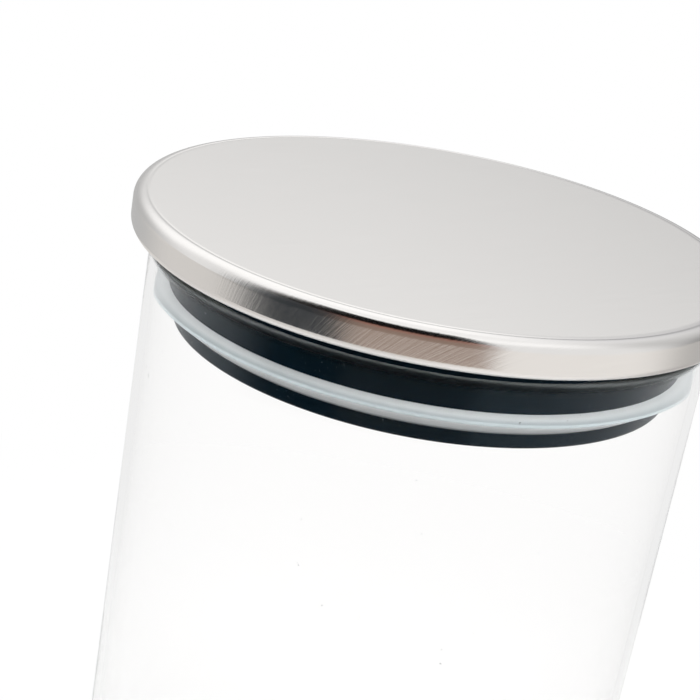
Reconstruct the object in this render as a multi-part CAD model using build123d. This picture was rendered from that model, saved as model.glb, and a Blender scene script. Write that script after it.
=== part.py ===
"""Lidded glass canister: a straight glass jar closed by a plug lid.

The lid is a thin stamped steel cap crimped over the flange of a hollow moulded plug. A soft
lip ring in the plug's groove grips the inside of the glass. Sizes are in millimetres, +Z is up,
and the origin is the centre of the jar's foot.
"""
from build123d import *
import os

# Glass jar
jar_diameter = 100.0
jar_height = 150.0
glass_wall = 1.5
base_thickness = 3.0
heel_radius = 9.0
foot_width = 11.0
push_up = 1.2

# Steel cap
sheet = 0.5
cap_overhang = 3.8
cap_height = 6.3
shoulder_radius = 1.95
curl_radius = 1.5
crimp_width = 1.1
edge_line_width = 0.8
edge_line_depth = 0.06

# Plug
rim_gap = 2.6
plug_gap = 2.55
plug_lead = 1.3
plug_depth = 13.2
plug_wall = 2.0
plug_floor = 2.0
plug_edge_radius = 0.8
flange_web = 1.8
flange_wall = 1.6
rib_count = 6
rib_thickness = 1.6
boss_radius = 7.0
boss_wall = 1.6

# Lip seal
seal_depth = 6.45
groove_depth = 2.0
groove_height = 4.1
lip_drop = 0.7
lip_edge = 0.5
lip_round = 0.2

# Clearances
cap_fit = 0.15
seal_fit = 0.05
lip_clearance = 0.1

# Radii and levels that the pieces share
jar_radius = jar_diameter / 2
bore_radius = jar_radius - glass_wall
plug_radius = bore_radius - plug_gap
lead_radius = plug_radius - plug_lead
groove_radius = plug_radius - groove_depth
cup_radius = groove_radius - plug_wall
lip_radius = bore_radius - lip_clearance
cap_radius = jar_radius + cap_overhang
flange_radius = cap_radius - sheet - cap_fit

rim_level = jar_height
flange_level = rim_level + rim_gap
cap_bottom = flange_level - sheet
cap_top = cap_bottom + cap_height
panel_level = cap_top - sheet
groove_top = rim_level - seal_depth
groove_bottom = groove_top - groove_height
plug_bottom = rim_level - plug_depth
floor_level = plug_bottom + plug_floor


def arc(start, centre, end):
    """The shorter arc from start to end about a centre, in the (radius, height) plane."""
    reach = Vector(*start) - Vector(*centre)
    middle = (Vector(*start) + Vector(*end)) * 0.5 - Vector(*centre)
    return ThreePointArc(start, Vector(*centre) + middle.normalized() * reach.length, end)


def turned(*edges):
    """A solid of revolution about Z from a closed outline in the (radius, height) plane."""
    outline = Plane.XZ * make_face(Curve() + list(edges))
    return revolve(outline, Axis.Z)


def tube(inner, outer, low, high):
    """A straight ring, or a disc where the inner radius is zero."""
    return turned(Polyline((inner, low), (outer, low), (outer, high), (inner, high), close=True))


def glass_jar():
    """Blown jar: even wall, rounded heel, pushed-up base and a fire-polished rim."""
    foot_outer = jar_radius - heel_radius
    foot_inner = foot_outer - foot_width
    dome_radius = (foot_inner**2 + push_up**2) / (2 * push_up)
    inner_heel = heel_radius - glass_wall
    rim_centre = (jar_radius - glass_wall / 2, rim_level - glass_wall / 2)
    return turned(
        arc((0, push_up), (0, push_up - dome_radius), (foot_inner, 0)),
        Line((foot_inner, 0), (foot_outer, 0)),
        arc((foot_outer, 0), (foot_outer, heel_radius), (jar_radius, heel_radius)),
        Line((jar_radius, heel_radius), (jar_radius, rim_centre[1])),
        ThreePointArc((jar_radius, rim_centre[1]), (rim_centre[0], rim_level), (bore_radius, rim_centre[1])),
        Line((bore_radius, rim_centre[1]), (bore_radius, base_thickness + inner_heel)),
        arc(
            (bore_radius, base_thickness + inner_heel),
            (bore_radius - inner_heel, base_thickness + inner_heel),
            (bore_radius - inner_heel, base_thickness),
        ),
        Line((bore_radius - inner_heel, base_thickness), (0, base_thickness)),
        Line((0, base_thickness), (0, push_up)),
    )


def lid_cap():
    """Stamped cap: flat panel with a coined edge line, rounded shoulder, skirt and crimped hem."""
    panel_edge = cap_radius - shoulder_radius
    line_inner = panel_edge - edge_line_width
    line_middle = panel_edge - edge_line_width / 2
    shoulder = (panel_edge, cap_top - shoulder_radius)
    curl = (cap_radius - curl_radius, cap_bottom + curl_radius)
    hem_edge = cap_radius - curl_radius - crimp_width
    inside = cap_radius - sheet
    return turned(
        Polyline((0, panel_level), (0, cap_top), (line_inner, cap_top)),
        Polyline((line_inner, cap_top), (line_middle, cap_top - edge_line_depth), (panel_edge, cap_top)),
        arc((panel_edge, cap_top), shoulder, (cap_radius, shoulder[1])),
        Line((cap_radius, shoulder[1]), (cap_radius, curl[1])),
        arc((cap_radius, curl[1]), curl, (curl[0], cap_bottom)),
        Polyline((curl[0], cap_bottom), (hem_edge, cap_bottom), (hem_edge, flange_level), (curl[0], flange_level)),
        arc((curl[0], flange_level), curl, (inside, curl[1])),
        Line((inside, curl[1]), (inside, shoulder[1])),
        arc((inside, shoulder[1]), shoulder, (panel_edge, panel_level)),
        Line((panel_edge, panel_level), (0, panel_level)),
    )


def lid_plug():
    """Moulded plug: flange in the cap, hollow cup that is slimmer below its groove, ribs and centre boss."""
    top_round = shoulder_radius - sheet
    low_round = curl_radius - sheet
    top = (flange_radius - top_round, panel_level - top_round)
    low = (flange_radius - low_round, flange_level + low_round)
    edge = (lead_radius - plug_edge_radius, plug_bottom + plug_edge_radius)
    block = turned(
        Polyline((0, plug_bottom), (edge[0], plug_bottom)),
        arc((edge[0], plug_bottom), edge, (lead_radius, edge[1])),
        Polyline(
            (lead_radius, edge[1]),
            (lead_radius, groove_bottom),
            (groove_radius, groove_bottom),
            (groove_radius, groove_top),
            (plug_radius, groove_top),
            (plug_radius, flange_level),
            (low[0], flange_level),
        ),
        arc((low[0], flange_level), low, (flange_radius, low[1])),
        Line((flange_radius, low[1]), (flange_radius, top[1])),
        arc((flange_radius, top[1]), top, (top[0], panel_level)),
        Polyline((top[0], panel_level), (0, panel_level), (0, plug_bottom)),
    )
    cup_step = groove_top + plug_wall
    cup = tube(0, cup_radius, floor_level, panel_level) + tube(0, groove_radius, cup_step, panel_level)
    channel = tube(plug_radius, flange_radius - flange_wall, flange_level + flange_web, panel_level)
    hollow = cup + channel

    rib_length = flange_radius - flange_wall
    boss = tube(boss_radius - boss_wall, boss_radius, floor_level, panel_level)
    core = tube(0, boss_radius - boss_wall, floor_level, panel_level)
    rib = Pos(rib_length / 2, 0, (floor_level + panel_level) / 2) * Box(
        rib_length, rib_thickness, panel_level - floor_level
    )
    ribs = [Rot(0, 0, 360 / rib_count * turn) * rib for turn in range(rib_count)]
    stiffening = (hollow & (boss + ribs)) - core
    return block - hollow + stiffening


def lid_seal():
    """Soft ring with a root in the plug's groove and one lip that reaches the glass and tapers down."""
    root = groove_radius + seal_fit
    root_top = groove_top - seal_fit
    root_bottom = groove_bottom + seal_fit
    lip_top = groove_top - lip_drop
    lip_bottom = lip_top - lip_edge
    ring = turned(
        Polyline(
            (root, root_bottom),
            (lead_radius, root_bottom),
            (lip_radius, lip_bottom),
            (lip_radius, lip_top),
            (plug_radius, root_top),
            (root, root_top),
            close=True,
        )
    )
    lip_edges = ring.edges().filter_by(GeomType.CIRCLE).sort_by(lambda e: e.radius)[-2:]
    return fillet(lip_edges, lip_round)


os.makedirs("parts", exist_ok=True)
for make in (glass_jar, lid_cap, lid_plug, lid_seal):
    piece = make()
    export_step(piece, f"parts/{make.__name__}.step")
    print(f"{make.__name__}: {piece.volume / 1000:.2f} cm3")
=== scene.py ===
"""A lidded glass canister: a clear jar closed by a brushed steel lid on a black plug with a lip seal.

Each piece is a surface of revolution on the jar's axis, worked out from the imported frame.
Lengths are in metres, +Z is up and the origin is the centre of the jar's foot.
"""
from math import radians

import bpy
import numpy as np
from mathutils import Matrix, Vector


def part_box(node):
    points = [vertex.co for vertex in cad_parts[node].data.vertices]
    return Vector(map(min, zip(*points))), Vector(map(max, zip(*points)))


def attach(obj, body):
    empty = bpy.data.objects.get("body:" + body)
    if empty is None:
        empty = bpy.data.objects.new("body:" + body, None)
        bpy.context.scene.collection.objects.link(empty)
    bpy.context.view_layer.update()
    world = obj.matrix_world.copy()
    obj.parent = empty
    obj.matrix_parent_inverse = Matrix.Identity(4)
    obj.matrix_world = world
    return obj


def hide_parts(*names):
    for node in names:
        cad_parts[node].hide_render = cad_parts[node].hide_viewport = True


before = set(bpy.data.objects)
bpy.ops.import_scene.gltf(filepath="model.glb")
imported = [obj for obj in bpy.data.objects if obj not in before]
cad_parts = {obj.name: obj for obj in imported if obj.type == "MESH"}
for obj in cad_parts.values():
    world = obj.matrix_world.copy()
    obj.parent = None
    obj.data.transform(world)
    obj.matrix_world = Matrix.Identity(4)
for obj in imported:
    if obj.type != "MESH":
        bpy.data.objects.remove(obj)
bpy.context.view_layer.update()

mm = 0.001

# Glass jar.
# Blown borosilicate tube with an even wall, a rounded heel, a pushed-up base that leaves a flat
# foot ring, and a rim melted round in the flame. It stands free and carries the lid by friction.
jar_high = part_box("glass_jar")[1]
jar_radius = jar_high.x
rim_level = jar_high.z
glass_wall = 1.5 * mm
bore_radius = jar_radius - glass_wall
base_thickness = 3.0 * mm
heel_radius = 9.0 * mm
foot_width = 11.0 * mm
push_up = 1.2 * mm
wall_step = 6 * mm
base_step = 4 * mm
around = 288
glass_ior = 1.47
glass_tone = (0.994, 0.992, 0.990)
glass_sheen = (0.175, 0.2, 0.215)
glass_lets_through = (0.98, 0.985, 0.985)
glass_dust = (0.35, 0.36, 0.36)
glass_dust_scale = 900
glass_dust_threshold = 0.78
# The rim's colour is painted shade: it darkens the glass near the rim.
rim_painted_shade = (0.30, 0.33, 0.33)
rim_blur = 0.35
rim_blur_depth = 1.8 * mm
ripple_scale = 18
ripple_height = 2 * mm
ripple_strength = 0.02
dust_patch_size = 30
dust_patch_edge = (0.45, 0.65)


def run(*points):
    """Straight runs through the given (radius, height) points."""
    return np.array(points, float)


def arc(centre, radius, start, stop, steps):
    """Points on a circle about a (radius, height) centre, from one angle in degrees to another."""
    angle = np.radians(np.linspace(start, stop, steps))
    return np.column_stack((centre[0] + radius * np.cos(angle), centre[1] + radius * np.sin(angle)))


def refined(outline, step, edge=0.12 * mm):
    """The outline with each long run cut into equal steps between two short ones of the given edge.

    The short steps hold the smooth shading of a round to the round itself.
    """
    pieces = []
    for first, last in zip(outline[:-1], outline[1:]):
        length = np.linalg.norm(last - first)
        if length < 4 * edge:
            share = np.zeros(1)
        else:
            inner = np.linspace(edge, length - edge, max(2, int(np.ceil(length / step)) + 1))
            share = np.concatenate(([0], inner)) / length
        pieces.append(first + (last - first) * share[:, None])
    return np.vstack(pieces + [outline[-1:]])


def revolve(outline, loop):
    """Carry a (radius, height) outline round Z: point (i, j) is outline i at turn j.

    A loop closes on itself, as a ring does. Otherwise both ends lie on the axis and become poles.
    The outline runs so that its right side, seen along it, is outside.
    """
    turn = np.arange(around) * 2 * np.pi / around
    rows = outline if loop else outline[1:-1]
    grid = np.stack(
        (
            rows[:, :1] * np.cos(turn),
            rows[:, :1] * np.sin(turn),
            np.repeat(rows[:, 1:], around, axis=1),
        ),
        axis=-1,
    )
    count = len(rows)
    index = np.arange(count * around).reshape(count, around)
    low = index if loop else index[:-1]
    high = np.roll(index, -1, axis=0) if loop else index[1:]
    quads = np.stack((low, np.roll(low, -1, axis=1), np.roll(high, -1, axis=1), high), axis=-1)
    faces = quads.reshape(-1, 4).tolist()
    points = grid.reshape(-1, 3)
    if not loop:
        start, end = count * around, count * around + 1
        points = np.vstack((points, (0, 0, outline[0, 1]), (0, 0, outline[-1, 1])))
        first, last = index[0], index[-1]
        faces += np.column_stack((np.full(around, start), np.roll(first, -1), first)).tolist()
        faces += np.column_stack((np.full(around, end), last, np.roll(last, -1))).tolist()
    return points, faces


def piece(name, points, faces, finish, crease=40):
    """A smooth-shaded mesh object at the origin, with edges sharper than the crease angle kept."""
    mesh = bpy.data.meshes.new(name)
    mesh.from_pydata(points.tolist(), [], faces)
    mesh.shade_smooth()
    mesh.set_sharp_from_angle(angle=radians(crease))
    mesh.materials.append(finish)
    made = bpy.data.objects.new(name, mesh)
    bpy.context.scene.collection.objects.link(made)
    return made


def finish_nodes(name):
    """A new material with its nodes, a short way to link sockets, and its Principled shader."""
    made = bpy.data.materials.new(name)
    made.use_nodes = True
    tree = made.node_tree
    return made, tree.nodes, tree.links.new, tree.nodes["Principled BSDF"]


def feed(link, value, socket):
    """Link one socket to another, or set a plain value on it."""
    if isinstance(value, bpy.types.NodeSocket):
        link(value, socket)
    else:
        socket.default_value = value


def maths(nodes, link, operation, *values, clamp=False):
    """A socket with the result of one operation on numbers and sockets, clamped to 0 to 1 if asked."""
    made = nodes.new("ShaderNodeMath")
    made.operation = operation
    made.use_clamp = clamp
    for value, socket in zip(values, made.inputs):
        feed(link, value, socket)
    return made.outputs[0]


def ramp(nodes, link, value, low, high, first=0, last=1, kind="SMOOTHSTEP"):
    """A socket that goes from first to last as the value goes from low to high, smoothly or in a line."""
    made = nodes.new("ShaderNodeMapRange")
    made.interpolation_type = kind
    made.inputs["From Min"].default_value = low
    made.inputs["From Max"].default_value = high
    made.inputs["To Min"].default_value = first
    made.inputs["To Max"].default_value = last
    link(value, made.inputs["Value"])
    return made.outputs["Result"]


def noise(nodes, link, vector, scale, detail=2, roughness=0.5):
    """A socket with a soft noise on a vector socket, from 0 to 1."""
    made = nodes.new("ShaderNodeTexNoise")
    link(vector, made.inputs["Vector"])
    feed(link, scale, made.inputs["Scale"])
    made.inputs["Detail"].default_value = detail
    made.inputs["Roughness"].default_value = roughness
    return made.outputs["Fac"]


def bumps(nodes, link, height, strength, distance):
    """A socket with the normal of a surface that a height socket makes uneven."""
    made = nodes.new("ShaderNodeBump")
    feed(link, strength, made.inputs["Strength"])
    made.inputs["Distance"].default_value = distance
    link(height, made.inputs["Height"])
    return made.outputs["Normal"]


def object_point(nodes):
    """A socket with a point's place in Object coordinates."""
    return nodes.new("ShaderNodeTexCoord").outputs["Object"]


def axes(nodes, link, vector):
    """The X, Y and Z sockets of a vector socket."""
    parts = nodes.new("ShaderNodeSeparateXYZ")
    link(vector, parts.inputs["Vector"])
    return parts.outputs


def blend_colours(nodes, link, mask, first, second):
    """A colour that goes from first, a colour or a socket, to second as the mask goes from 0 to 1."""
    mix = nodes.new("ShaderNodeMix")
    mix.data_type = "RGBA"
    feed(link, (*first, 1) if isinstance(first, tuple) else first, mix.inputs["A"])
    feed(link, (*second, 1), mix.inputs["B"])
    link(mask, mix.inputs["Factor"])
    return mix.outputs["Result"]


def blend_shaders(nodes, link, mask, first, second):
    """Put out one shader where the mask is 0 and another where it is 1."""
    mix = nodes.new("ShaderNodeMixShader")
    link(mask, mix.inputs["Fac"])
    link(first, mix.inputs[1])
    link(second, mix.inputs[2])
    link(mix.outputs["Shader"], nodes["Material Output"].inputs["Surface"])


def speck_group():
    """Fine dust in loose patches: 1 on a speck, 0 elsewhere.

    A fine noise passes Threshold on each speck, and a much coarser noise keeps them to patches.
    """
    group = bpy.data.node_groups.new("dust specks", "ShaderNodeTree")
    for socket, kind in (("Vector", "Vector"), ("Scale", "Float"), ("Threshold", "Float")):
        group.interface.new_socket(socket, in_out="INPUT", socket_type=f"NodeSocket{kind}")
    group.interface.new_socket("Mask", in_out="OUTPUT", socket_type="NodeSocketFloat")
    nodes, link = group.nodes, group.links.new
    given = nodes.new("NodeGroupInput").outputs
    put = nodes.new("NodeGroupOutput").inputs
    fine = noise(nodes, link, given["Vector"], given["Scale"])
    speck = maths(nodes, link, "GREATER_THAN", fine, given["Threshold"])
    coarse_scale = maths(nodes, link, "MULTIPLY", given["Scale"], 1 / dust_patch_size)
    coarse = noise(nodes, link, given["Vector"], coarse_scale)
    patch = ramp(nodes, link, coarse, *dust_patch_edge)
    link(maths(nodes, link, "MULTIPLY", speck, patch), put["Mask"])
    return group


dust_specks = speck_group()


def specks(nodes, link, scale, threshold):
    """The dust group placed in a material on Object coordinates; gives its mask socket."""
    dust = nodes.new("ShaderNodeGroup")
    dust.node_tree = dust_specks
    link(object_point(nodes), dust.inputs["Vector"])
    dust.inputs["Scale"].default_value = scale
    dust.inputs["Threshold"].default_value = threshold
    return dust.outputs["Mask"]


def clear_glass():
    """Clear glass with faint blown ripples, a little dust and a duller rim darkened by painted shade.

    Lamps shine through it.
    """
    made, nodes, link, glass = finish_nodes("clear_glass")
    glass.inputs["Transmission Weight"].default_value = 1
    glass.inputs["IOR"].default_value = glass_ior
    glass.inputs["Specular Tint"].default_value = (*glass_sheen, 1)
    place = object_point(nodes)
    height = axes(nodes, link, place)["Z"]
    rim_start = rim_level - rim_blur_depth
    melted = ramp(nodes, link, height, rim_start, rim_level - rim_blur_depth / 2, kind="LINEAR")
    link(maths(nodes, link, "MULTIPLY", melted, rim_blur), glass.inputs["Roughness"])
    # Painted shade: the glass's colour darkens towards the rim.
    tone = blend_colours(nodes, link, melted, glass_tone, rim_painted_shade)
    dust = specks(nodes, link, glass_dust_scale, glass_dust_threshold)
    link(blend_colours(nodes, link, dust, tone, glass_dust), glass.inputs["Base Color"])
    ripple = noise(nodes, link, place, ripple_scale, detail=1)
    link(bumps(nodes, link, ripple, ripple_strength, ripple_height), glass.inputs["Normal"])
    to_lamp = nodes.new("ShaderNodeLightPath").outputs["Is Shadow Ray"]
    through = nodes.new("ShaderNodeBsdfTransparent")
    through.inputs["Color"].default_value = (*glass_lets_through, 1)
    blend_shaders(nodes, link, to_lamp, glass.outputs["BSDF"], through.outputs["BSDF"])
    return made


def jar_outline():
    """Base, heel, wall, half-round rim, bore and inner base, from the axis back to the axis."""
    foot_outer = jar_radius - heel_radius
    foot_inner = foot_outer - foot_width
    dome = (foot_inner**2 + push_up**2) / (2 * push_up)
    dome_edge = np.degrees(np.arctan2(dome - push_up, foot_inner))
    inner_heel = heel_radius - glass_wall
    rim = (jar_radius - glass_wall / 2, rim_level - glass_wall / 2)
    inner = (bore_radius - inner_heel, base_thickness + inner_heel)
    return np.vstack(
        (
            arc((0, push_up - dome), dome, 90, dome_edge, steps=24),
            arc((foot_outer, heel_radius), heel_radius, -90, 0, steps=24),
            refined(run((jar_radius, heel_radius), (jar_radius, rim[1])), wall_step)[1:],
            arc(rim, glass_wall / 2, 0, 180, steps=25)[1:],
            refined(run((bore_radius, rim[1]), (bore_radius, inner[1])), wall_step)[1:],
            arc(inner, inner_heel, 0, -90, steps=24)[1:],
            refined(run((inner[0], base_thickness), (0, base_thickness)), base_step)[1:],
        )
    )


jar = piece("canister_jar", *revolve(jar_outline(), loop=False), clear_glass())
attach(jar, "jar")
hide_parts("glass_jar")

# Black plug.
# Moulded polypropylene: a hollow cup that hangs in the mouth, slimmer below its groove for the seal,
# and a wide flange that fills the steel cap. The cap closes the cup and hides the ribs in it.
plug_low, plug_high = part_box("lid_plug")
seal_low, seal_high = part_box("lid_seal")
cap_low, cap_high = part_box("lid_cap")
sheet = 0.5 * mm
plug_gap = 2.55 * mm
plug_lead = 1.3 * mm
plug_wall = 2.0 * mm
plug_floor = 2.0 * mm
plug_edge = 0.8 * mm
groove_depth = 2.0 * mm
seal_fit = 0.05 * mm
flange_web = 1.8 * mm
flange_wall = 1.6 * mm
shoulder_radius = 1.95 * mm
curl_radius = 1.5 * mm
plug_radius = bore_radius - plug_gap
lead_radius = plug_radius - plug_lead
groove_radius = plug_radius - groove_depth
cup_radius = groove_radius - plug_wall
flange_radius = plug_high.x
flange_level = cap_low.z + sheet
panel_level = cap_high.z - sheet
groove_top = seal_high.z + seal_fit
groove_bottom = seal_low.z - seal_fit
floor_level = plug_low.z + plug_floor
plug_step = 3 * mm
plastic_black = (0.0015, 0.0065, 0.0115)
plastic_sheen = (0.7, 0.94, 1.0)
plastic_sheen_level = 0.05
plastic_roughness = (0.24, 0.38)
plastic_grain_scale = 350
plastic_grain_height = 0.2 * mm
plastic_grain_strength = 0.05
plastic_dust = (0.25, 0.27, 0.28)
plastic_dust_scale = 2600
plastic_dust_threshold = 0.69


def black_plastic():
    """Blue-black moulded plastic, half glossy, with fine dust caught on it."""
    made, nodes, link, plastic = finish_nodes("black_plastic")
    plastic.inputs["Specular IOR Level"].default_value = plastic_sheen_level
    plastic.inputs["Specular Tint"].default_value = (*plastic_sheen, 1)
    dust = specks(nodes, link, plastic_dust_scale, plastic_dust_threshold)
    link(blend_colours(nodes, link, dust, plastic_black, plastic_dust), plastic.inputs["Base Color"])
    grain = noise(nodes, link, object_point(nodes), plastic_grain_scale, detail=4)
    link(ramp(nodes, link, grain, 0, 1, *plastic_roughness, kind="LINEAR"), plastic.inputs["Roughness"])
    uneven = bumps(nodes, link, grain, plastic_grain_strength, plastic_grain_height)
    link(uneven, plastic.inputs["Normal"])
    return made


def plug_outline():
    """The plug's skin: floor, cup wall with its groove, flange, channel in it and inside of the cup."""
    top_round = shoulder_radius - sheet
    low_round = curl_radius - sheet
    channel_outer = flange_radius - flange_wall
    channel_floor = flange_level + flange_web
    cup_step = groove_top + plug_wall
    outside = np.vstack(
        (
            run((0, plug_low.z)),
            arc((lead_radius - plug_edge, plug_low.z + plug_edge), plug_edge, -90, 0, steps=10),
            run(
                (lead_radius, groove_bottom),
                (groove_radius, groove_bottom),
                (groove_radius, groove_top),
                (plug_radius, groove_top),
                (plug_radius, flange_level),
            ),
            arc((flange_radius - low_round, flange_level + low_round), low_round, -90, 0, steps=10),
            arc((flange_radius - top_round, panel_level - top_round), top_round, 0, 90, steps=10),
        )
    )
    inside = run(
        (channel_outer, panel_level),
        (channel_outer, channel_floor),
        (plug_radius, channel_floor),
        (plug_radius, panel_level),
        (groove_radius, panel_level),
        (groove_radius, cup_step),
        (cup_radius, cup_step),
        (cup_radius, floor_level),
        (0, floor_level),
    )
    return refined(np.vstack((outside, inside)), plug_step)


plug = piece("lid_stopper", *revolve(plug_outline(), loop=False), black_plastic())
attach(plug, "lid")
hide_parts("lid_plug")

# Lip seal.
# One ring of pale translucent silicone, stretched into the plug's groove. Its lip wipes down the
# inside of the glass and holds the lid where it is put, and it tapers down to enter the mouth.
lip_drop = 0.7 * mm
lip_edge = 0.5 * mm
lip_round = 0.2 * mm
lip_radius = seal_high.x
lip_top = groove_top - lip_drop
lip_bottom = lip_top - lip_edge
lip_fade = 1.4 * mm
root_fade = 1.2 * mm
seal_step = 0.5 * mm
silicone_dull = (0.885, 0.94, 0.96)
silicone_bright = (0.925, 0.97, 0.985)
# The next two colours are painted shade: at the lip's edge and low on the taper.
silicone_lip_shade = (0.52, 0.582, 0.603)
silicone_taper_shade = (0.36, 0.40, 0.42)
silicone_roughness = 0.38
silicone_cloud_scale = 120
silicone_scatter = 0.4
silicone_scatter_depth = 0.8 * mm


def vector_length(nodes, link, vector):
    """A socket with the length of a vector socket."""
    made = nodes.new("ShaderNodeVectorMath")
    made.operation = "LENGTH"
    link(vector, made.inputs[0])
    return made.outputs["Value"]


def distance_from_axis(nodes, link):
    """A socket that gives a point's distance from the canister's axis."""
    flat = nodes.new("ShaderNodeVectorMath")
    flat.operation = "MULTIPLY"
    flat.inputs[1].default_value = (1, 1, 0)
    link(object_point(nodes), flat.inputs[0])
    return vector_length(nodes, link, flat.outputs["Vector"])


def silicone():
    """Pale, slightly blue silicone, cloudy, with a satin skin.

    Painted shade darkens it towards the lip's edge and low on the taper, next to the dark plug.
    """
    made, nodes, link, rubber = finish_nodes("silicone")
    place = object_point(nodes)
    cloud = noise(nodes, link, place, silicone_cloud_scale, detail=3)
    body = blend_colours(nodes, link, cloud, silicone_dull, silicone_bright)
    reach = distance_from_axis(nodes, link)
    height = axes(nodes, link, place)["Z"]
    near_edge = ramp(nodes, link, reach, lip_radius - lip_fade, lip_radius)
    above_taper = ramp(nodes, link, height, lip_bottom - lip_round, lip_bottom)
    # Painted shade towards the lip's edge.
    lip_shade = maths(nodes, link, "MULTIPLY", near_edge, above_taper)
    # Painted shade low on the taper, next to the plug.
    taper_shade = ramp(nodes, link, reach, lead_radius, lead_radius + root_fade, 1, 0)
    colour = blend_colours(nodes, link, lip_shade, body, silicone_lip_shade)
    colour = blend_colours(nodes, link, taper_shade, colour, silicone_taper_shade)
    link(colour, rubber.inputs["Base Color"])
    rubber.inputs["Subsurface Weight"].default_value = silicone_scatter
    rubber.inputs["Subsurface Radius"].default_value = (1.0, 1.0, 1.0)
    rubber.inputs["Subsurface Scale"].default_value = silicone_scatter_depth
    rubber.inputs["Roughness"].default_value = silicone_roughness
    return made


def seal_outline():
    """A closed loop: root in the groove, long taper out to the lip, rounded lip edge, short upper slope."""
    root = groove_radius + seal_fit
    below = np.degrees(np.arctan2(lead_radius - lip_radius, lip_bottom - seal_low.z))
    above = np.degrees(np.arctan2(lip_radius - plug_radius, seal_high.z - lip_top))
    tuck = np.tan(np.radians((below, above)) / 2) * lip_round
    inside = lip_radius - lip_round
    return np.vstack(
        (
            refined(run((root, seal_low.z), (lead_radius, seal_low.z)), seal_step),
            arc((inside, lip_bottom - tuck[0]), lip_round, below, 0, steps=8),
            arc((inside, lip_top - tuck[1]), lip_round, 0, above, steps=8),
            refined(run((plug_radius, seal_high.z), (root, seal_high.z)), seal_step),
        )
    )


seal = piece("lid_lip_ring", *revolve(seal_outline(), loop=True), silicone(), crease=50)
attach(seal, "seal")
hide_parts("lid_seal")

# Steel cap.
# Thin stainless sheet, brushed in straight lines before it was stamped, so the grain runs on over
# the shoulder and down the skirt. The hem is turned in under the plug's flange and holds the cap.
crimp_width = 1.1 * mm
crease_width = 0.8 * mm
crease_depth = 0.06 * mm
cap_radius = cap_high.x
panel_edge = cap_radius - shoulder_radius
under_step = 2 * mm
skirt_step = 0.6 * mm
panel_step = 1.5 * mm
grain_azimuth = radians(-50)
scratch_width = 0.45 * mm
scratch_length = 14.0 * mm
scratch_depth = 0.03 * mm
scratch_strength = (0.2, 0.8)
scratch_roughness = 0.04
steel_dark = (0.70, 0.685, 0.67)
steel_light = (0.75, 0.735, 0.72)
steel_roughness = (0.24, 0.12)
steel_one_way = 0.9
formed_from = panel_edge - 1 * mm
formed_to = panel_edge + 0.3 * mm
# Painted shade: a dark line in the panel's crease, on the right side only.
crease_shade_tone = (0.46, 0.45, 0.45)
crease_shade_radius = panel_edge - 0.1 * mm
crease_shade_width = 1.6 * mm
crease_shade_full = cap_radius * 0.6


def brushed_steel():
    """Satin steel with long fine scratches along V of the grain map, which blur its gloss across them only.

    The drawn shoulder and skirt are burnished by the die, and a painted shade darkens the crease on the
    right.
    """
    made, nodes, link, steel = finish_nodes("brushed_steel")
    steel.inputs["Metallic"].default_value = 1
    steel.inputs["Anisotropic"].default_value = steel_one_way
    grain_map = nodes.new("ShaderNodeUVMap")
    grain_map.uv_map = "grain"
    scratch = noise(nodes, link, grain_map.outputs["UV"], 1, detail=5, roughness=0.65)
    brushed = blend_colours(nodes, link, scratch, steel_dark, steel_light)
    reach = distance_from_axis(nodes, link)
    # Painted shade in the crease, on the right side only.
    off_crease = maths(nodes, link, "SUBTRACT", reach, crease_shade_radius)
    on_crease = ramp(nodes, link, maths(nodes, link, "ABSOLUTE", off_crease), 0, crease_shade_width, 1, 0)
    on_right = ramp(nodes, link, axes(nodes, link, object_point(nodes))["X"], 0, crease_shade_full)
    crease_shade = maths(nodes, link, "MULTIPLY", on_crease, on_right)
    link(blend_colours(nodes, link, crease_shade, brushed, crease_shade_tone), steel.inputs["Base Color"])
    formed = ramp(nodes, link, reach, formed_from, formed_to, *steel_roughness, kind="LINEAR")
    gloss = maths(nodes, link, "MULTIPLY_ADD", scratch, scratch_roughness, formed)
    link(gloss, steel.inputs["Roughness"])
    drawn = ramp(nodes, link, reach, panel_edge, cap_radius, *scratch_strength, kind="LINEAR")
    link(bumps(nodes, link, scratch, drawn, scratch_depth), steel.inputs["Normal"])
    across = nodes.new("ShaderNodeTangent")
    across.direction_type = "UV_MAP"
    across.uv_map = "grain"
    link(across.outputs["Tangent"], steel.inputs["Tangent"])
    return made


def cap_outline():
    """Underside of the panel, inside of the skirt, hem, outside of the skirt, shoulder and panel.

    The crease inside the panel's edge is a dip with the square of half a sine wave across its width.
    """
    shoulder = (panel_edge, cap_high.z - shoulder_radius)
    curl = (cap_radius - curl_radius, cap_low.z + curl_radius)
    hem_edge = curl[0] - crimp_width
    share = np.linspace(0, 1, 11)[1:-1]
    dip = crease_depth * np.sin(np.pi * share) ** 2
    return np.vstack(
        (
            refined(run((0, panel_level), (panel_edge, panel_level)), under_step)[:-1],
            arc(shoulder, shoulder_radius - sheet, 90, 0, steps=12),
            arc(curl, curl_radius - sheet, 0, -90, steps=12),
            run((hem_edge, flange_level), (hem_edge, cap_low.z)),
            arc(curl, curl_radius, -90, 0, steps=24),
            refined(run((cap_radius, curl[1]), (cap_radius, shoulder[1])), skirt_step)[1:-1],
            arc(shoulder, shoulder_radius, 0, 90, steps=32),
            np.column_stack((panel_edge - crease_width * share, cap_high.z - dip)),
            refined(run((panel_edge - crease_width, cap_high.z), (0, cap_high.z)), panel_step),
        )
    )


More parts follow.
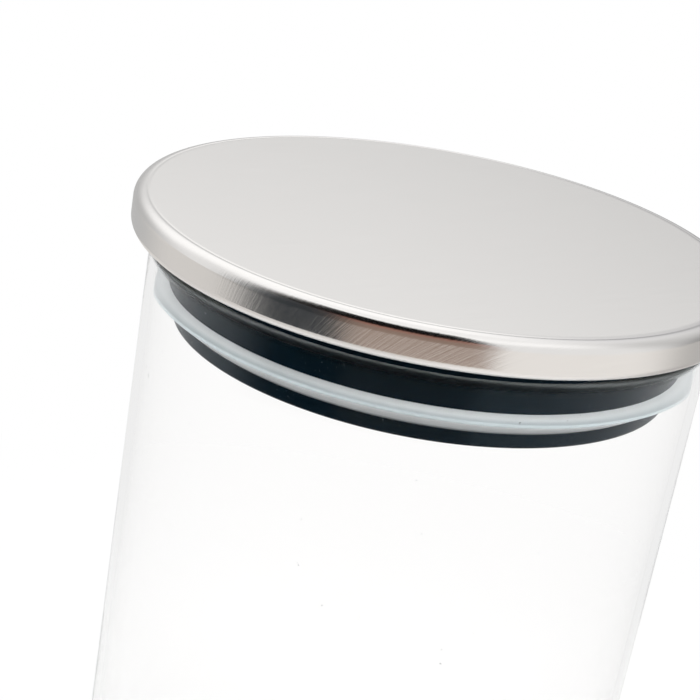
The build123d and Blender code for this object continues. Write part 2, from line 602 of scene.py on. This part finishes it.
def grain_uv(mesh, outline):
    """The stamped sheet laid flat again: U across the grain and V along it, counted in scratches.

    A point's distance from the centre is its way along the outline, and its direction is unchanged.
    """
    way = np.concatenate(([0], np.cumsum(np.linalg.norm(np.diff(outline, axis=0), axis=1))))
    reach = np.minimum(way, way[-1] - way)
    turn = np.arange(around) * 2 * np.pi / around
    rows = reach[1:-1, None]
    flat = np.stack((rows * np.cos(turn), rows * np.sin(turn)), axis=-1).reshape(-1, 2)
    flat = np.vstack((flat, np.zeros((2, 2))))
    along = np.array((np.sin(grain_azimuth), -np.cos(grain_azimuth)))
    across = np.array((-along[1], along[0]))
    both = np.column_stack((flat @ across / scratch_width, flat @ along / scratch_length))
    corner = np.zeros(len(mesh.loops), int)
    mesh.loops.foreach_get("vertex_index", corner)
    layer = mesh.uv_layers.new(name="grain")
    layer.data.foreach_set("uv", both[corner].ravel())


cap_profile = cap_outline()
cap = piece("lid_steel_cap", *revolve(cap_profile, loop=False), brushed_steel(), crease=30)
grain_uv(cap.data, cap_profile)
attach(cap, "lid")
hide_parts("lid_cap")

# Floor and light.
# A pale floor that fades to white away from the canister, a large soft lamp overhead, one on each
# side, even fill from all round, and cards in front, behind and on the right for mirrors to show.
floor_size = 8.0
floor_gap = 0.05 * mm
floor_near = 0.07
floor_far = 0.24
floor_share = 0.4
floor_colour = 0.7
floor_sides = (-0.3, 0.5)
floor_left = 0.84
floor_right = 1.04
floor_in_glass = 0.86
warm_floor = (1.015, 0.988, 0.958)
dim_side = 0.56
dim_right = (-0.1, 0.95)
dim_back = (-0.35, 0.5)


def seen_rays(nodes, link):
    """1 for rays that the eye follows, straight or by way of metal and glass; 0 for those that light."""
    path = nodes.new("ShaderNodeLightPath").outputs
    direct = maths(nodes, link, "ADD", path["Is Camera Ray"], path["Is Glossy Ray"])
    return maths(nodes, link, "ADD", direct, path["Is Transmission Ray"], clamp=True)


def mirrored_by(nodes, link, glass):
    """1 for rays that satin metal has mirrored, or clear glass if asked; 0 for all others."""
    path = nodes.new("ShaderNodeLightPath").outputs
    right_kind = maths(nodes, link, "COMPARE", path["Is Singular Ray"], 1 if glass else 0)
    return maths(nodes, link, "MULTIPLY", path["Glossy Depth"], right_kind, clamp=True)


def right_back(nodes, link, way):
    """How dim bare metal sees a direction: 0 on the left and in front, 1 behind on the right."""
    parts = axes(nodes, link, way)
    right = ramp(nodes, link, parts["X"], *dim_right)
    behind = ramp(nodes, link, parts["Y"], *dim_back)
    return maths(nodes, link, "MULTIPLY", right, behind)


def choose(nodes, link, share, otherwise, chosen):
    """A socket that goes from one number or socket to another as the share goes from 0 to 1."""
    made = nodes.new("ShaderNodeMix")
    link(share, made.inputs["Factor"])
    feed(link, otherwise, made.inputs["A"])
    feed(link, chosen, made.inputs["B"])
    return made.outputs["Result"]


def white_floor():
    """Matt white near the object, where its shadow falls, and plain white further off for eye and mirrors.

    Bare metal sees it warmer, a little darker on the left and much darker behind on the right, and light
    that has bounced inside the glass sees it a little darker all round.
    """
    made, nodes, link, paint = finish_nodes("floor_white")
    paint.inputs["Base Color"].default_value = (floor_colour, floor_colour, floor_colour, 1)
    paint.inputs["Roughness"].default_value = 1
    paint.inputs["Specular IOR Level"].default_value = 0
    place = object_point(nodes)
    reach = vector_length(nodes, link, place)
    fade = ramp(nodes, link, reach, floor_near, floor_far, floor_share, 1)
    share = maths(nodes, link, "MULTIPLY", fade, seen_rays(nodes, link))
    unit = nodes.new("ShaderNodeVectorMath")
    unit.operation = "NORMALIZE"
    link(place, unit.inputs[0])
    way = unit.outputs["Vector"]
    sideways = ramp(nodes, link, axes(nodes, link, way)["X"], *floor_sides, floor_left, floor_right)
    dimmed = ramp(nodes, link, right_back(nodes, link, way), 0, 1, 1, dim_side)
    in_metal = maths(nodes, link, "MULTIPLY", sideways, dimmed)
    glass = mirrored_by(nodes, link, glass=True)
    metal = mirrored_by(nodes, link, glass=False)
    white = nodes.new("ShaderNodeEmission")
    level = choose(nodes, link, metal, choose(nodes, link, glass, 1.0, floor_in_glass), in_metal)
    link(level, white.inputs["Strength"])
    link(blend_colours(nodes, link, metal, (1.0, 1.0, 1.0), warm_floor), white.inputs["Color"])
    blend_shaders(nodes, link, share, paint.outputs["BSDF"], white.outputs["Emission"])
    return made


half = floor_size / 2
floor_corners = np.array(((-half, -half), (half, -half), (half, half), (-half, half)))
floor_corners = np.column_stack((floor_corners, np.full(4, -floor_gap)))
floor = piece("floor", floor_corners, [(0, 1, 2, 3)], white_floor())

fill_strength = 0.62
sky_level = 1.04
sky_overhead = 1.38
horizon_left = 0.66
horizon_right = 0.5
zenith_dim = 0.88
sky_sides = (-0.1, 0.3)
sky_behind = (0, 0.6)
back_sky_rise = (0, 0.62)
front_sky_rise = (0.6, 0.95)
zenith_rise = (0.88, 0.98)


def studio_world():
    """Even white for the eye, and a weaker even fill on matt surfaces.

    Bare metal sees it brightest high up, a little dimmer straight overhead, and dimmer at the horizon
    behind the canister and on the right.
    """
    made = bpy.data.worlds.new("studio")
    made.use_nodes = True
    nodes, link = made.node_tree.nodes, made.node_tree.links.new
    way = nodes.new("ShaderNodeTexCoord").outputs["Generated"]
    parts = axes(nodes, link, way)
    horizon = ramp(nodes, link, parts["X"], *sky_sides, horizon_left, horizon_right)
    back_rise = ramp(nodes, link, parts["Z"], *back_sky_rise)
    back_sky = choose(nodes, link, back_rise, horizon, sky_overhead)
    front_sky = ramp(nodes, link, parts["Z"], *front_sky_rise, sky_level, sky_overhead)
    behind = ramp(nodes, link, parts["Y"], *sky_behind)
    sky = choose(nodes, link, behind, front_sky, back_sky)
    side = ramp(nodes, link, right_back(nodes, link, way), 0, 1, 1, dim_side)
    zenith = ramp(nodes, link, parts["Z"], *zenith_rise, 1, zenith_dim)
    in_metal = maths(nodes, link, "MULTIPLY", maths(nodes, link, "MULTIPLY", sky, side), zenith)
    seen = choose(nodes, link, mirrored_by(nodes, link, glass=False), 1.0, in_metal)
    strength = choose(nodes, link, seen_rays(nodes, link), fill_strength, seen)
    nodes["Background"].inputs["Color"].default_value = (1, 1, 1, 1)
    link(strength, nodes["Background"].inputs["Strength"])
    return made


bpy.context.scene.world = studio_world()

lamp_size = 2.1
lamp_place = (-0.1, -0.05, 1.5)
lamp_radiance = 0.5
fill_size = 0.7
fill_distance = 1.0
fill_rise = radians(28)
left_turn = radians(-68)
left_level = 1.0
right_turn = radians(62)
right_level = 1.1


def soft_lamp(name, size, energy, place):
    """A square lamp that faces down and lights the canister, but shows to no eye, mirror or glass."""
    light = bpy.data.lights.new(name, "AREA")
    light.size = size
    light.energy = energy
    made = bpy.data.objects.new(name, light)
    made.location = place
    made.visible_camera = False
    made.visible_glossy = False
    made.visible_transmission = False
    bpy.context.scene.collection.objects.link(made)
    return made


def side_fill(name, turn, level):
    """A soft lamp on one side, a turn away from the front, that lights the seal in under the lid."""
    flat = np.cos(fill_rise)
    way = Vector((np.sin(turn) * flat, -np.cos(turn) * flat, np.sin(fill_rise)))
    place = Vector((0, 0, rim_level)) + way * fill_distance
    made = soft_lamp(name, fill_size, level * np.pi**2 * fill_distance**2, place)
    made.rotation_euler = way.to_track_quat("Z", "Y").to_euler()


soft_lamp("softbox", lamp_size, lamp_radiance * np.pi * lamp_size**2, lamp_place)
side_fill("left_fill", left_turn, left_level)
side_fill("right_fill", right_turn, right_level)

card_distance = 0.36
card_eye_level = 0.155
card_points = 96
card_near = 0.012
card_far = 0.04
card_always_near = 10
card_in_glass = 0.25
passes_behind_glass = 2.5


def step(value, low, high):
    """0 below low, 1 above high, and a smooth rise between."""
    share = np.clip((value - low) / (high - low), 0, 1)
    return share * share * (3 - 2 * share)


def tall_shade(turn, rise):
    """Colour and cover of the tall card at a turn about Z and a rise seen from the lid, both in degrees.

    Dark on the left, brown on the right, redder high up and paler low down, and black above both.
    """
    dark = np.array((0.034, 0.040, 0.046))
    rust = np.array((0.40, 0.20, 0.155))
    clay = np.array((0.33, 0.235, 0.19))
    tan = np.array((0.62, 0.52, 0.45))
    high = step(rise, 5, 26)[..., None]
    low = step(rise, -16, -27)[..., None]
    brown = (clay * (1 - high) + rust * high) * (1 - low) + tan * low
    right = step(turn, -30, -20)[..., None]
    upper = step(rise, 26, 32)[..., None]
    colour = (dark * (1 - right) + brown * right) * (1 - upper)
    cover = step(turn, -76, -50) * (1 - step(turn, 19, 28)) * (1 - step(rise, 68, 72))
    return np.concatenate((colour, cover[..., None]), axis=-1)


def back_shade(turn, rise):
    """Colour and cover of the card behind the canister: one grey that thins out upwards."""
    colour = np.full((*turn.shape, 3), 0.6)
    cover = (1 - step(rise, 4, 34)) * step(turn, 100, 130) * (1 - step(turn, 230, 260))
    return np.concatenate((colour, cover[..., None]), axis=-1)


def low_shade(turn, rise):
    """Colour and cover of the low strip on the right: one cool grey that ends softly."""
    colour = np.broadcast_to((0.40, 0.49, 0.54), (*turn.shape, 3))
    cover = step(turn, 13, 20) * (1 - step(turn, 80, 110)) * (1 - step(rise, -12, -5))
    return np.concatenate((colour, cover[..., None]), axis=-1)


def mirror_card(seen_in):
    """Self-lit card with the colour and cover painted on it, dimmer through glass.

    Only mirrored rays meet it: those of every mirror, of bare metal, or of what stands behind glass. It
    thins out for a mirror further from a point of it than the edge_distance painted there.
    """
    made, nodes, link, _ = finish_nodes("mirror_card")
    path = nodes.new("ShaderNodeLightPath").outputs
    shade = nodes.new("ShaderNodeAttribute")
    shade.attribute_name = "shade"
    edge = nodes.new("ShaderNodeAttribute")
    edge.attribute_name = "edge_distance"
    glow = nodes.new("ShaderNodeEmission")
    link(shade.outputs["Color"], glow.inputs["Color"])
    dimmed = ramp(nodes, link, path["Transmission Depth"], 0, 1, 1, card_in_glass, kind="LINEAR")
    link(dimmed, glow.inputs["Strength"])
    shown = 1
    if seen_in == "metal":
        shown = mirrored_by(nodes, link, glass=False)
    if seen_in == "behind glass":
        passes = maths(nodes, link, "SUBTRACT", path["Transmission Depth"], path["Glossy Depth"])
        shown = maths(nodes, link, "GREATER_THAN", passes, passes_behind_glass)
    meets = maths(nodes, link, "MINIMUM", path["Glossy Depth"], shown)
    further = maths(nodes, link, "SUBTRACT", path["Ray Length"], edge.outputs["Fac"])
    near = ramp(nodes, link, further, card_near, card_far, 1, 0)
    painted = maths(nodes, link, "MULTIPLY", meets, shade.outputs["Alpha"])
    cover = maths(nodes, link, "MULTIPLY", painted, near)
    clear = nodes.new("ShaderNodeBsdfTransparent")
    blend_shaders(nodes, link, cover, clear.outputs["BSDF"], glow.outputs["Emission"])
    return made


def stand_card(name, left, right, top, shade, seen_in, near_only):
    """A patch of an upright cylinder about Z, from one turn to another, with its shade on its points.

    Each point also keeps its distance from the lid's near edge, or a far longer one where the whole lid
    may show the card. With near_only, the flat of the lid hardly shows it.
    """
    turn_row = np.linspace(left, right, card_points)
    turns, heights = np.meshgrid(turn_row, np.linspace(0, top, card_points))
    rises = np.degrees(np.arctan2(heights - card_eye_level, card_distance - cap_radius))
    across = card_distance * np.sin(np.radians(turns))
    deep = -card_distance * np.cos(np.radians(turns))
    points = np.stack((across, deep, heights), axis=-1).reshape(-1, 3)
    corner = np.arange(card_points**2).reshape(card_points, card_points)[:-1, :-1].ravel()
    above = corner + card_points
    faces = np.column_stack((corner, above, above + 1, corner + 1)).tolist()
    card = piece(name, points, faces, mirror_card(seen_in))
    shades = card.data.attributes.new("shade", "FLOAT_COLOR", "POINT")
    shades.data.foreach_set("color", shade(turns, rises).ravel())
    from_edge = np.hypot(heights - card_eye_level, card_distance - cap_radius)
    if not near_only:
        from_edge = from_edge + card_always_near
    spread = card.data.attributes.new("edge_distance", "FLOAT", "POINT")
    spread.data.foreach_set("value", from_edge.ravel())
    card.visible_camera = False
    card.visible_diffuse = False
    card.visible_shadow = False


stand_card("tall_card", -90, 30, 1.2, tall_shade, "any", near_only=True)
stand_card("back_card", 100, 260, 0.6, back_shade, "metal", near_only=False)
stand_card("low_strip", 10, 120, 0.15, low_shade, "behind glass", near_only=False)

# Camera.
# A long lens close above the lid, rolled so that the canister leans to the right.
camera_distance = 298.4 * mm
camera_elevation = radians(16.55)
camera_pan = radians(2.26)
camera_tilt = radians(4.745)
camera_roll = radians(10.69)
camera_lens = 87.33
camera_clip = 10 * mm
light_bounces = 24
mirror_bounces = 16
lid_centre = Vector((0, 0, cap_high.z))
back = Vector((0, -np.cos(camera_elevation), np.sin(camera_elevation)))
aim = (-back).to_track_quat("-Z", "Y").to_matrix()
aim = aim @ Matrix.Rotation(camera_pan, 3, "Y")
aim = aim @ Matrix.Rotation(-camera_tilt, 3, "X")
aim = aim @ Matrix.Rotation(camera_roll, 3, "Z")
camera = bpy.data.objects.new("camera", bpy.data.cameras.new("camera"))
camera.data.lens = camera_lens
camera.data.clip_start = camera_clip
camera.matrix_world = Matrix.Translation(lid_centre + back * camera_distance) @ aim.to_4x4()
bpy.context.scene.collection.objects.link(camera)
bpy.context.scene.camera = camera
bpy.context.scene.view_settings.view_transform = "Standard"
bpy.context.scene.cycles.max_bounces = light_bounces
bpy.context.scene.cycles.transmission_bounces = light_bounces
bpy.context.scene.cycles.glossy_bounces = mirror_bounces
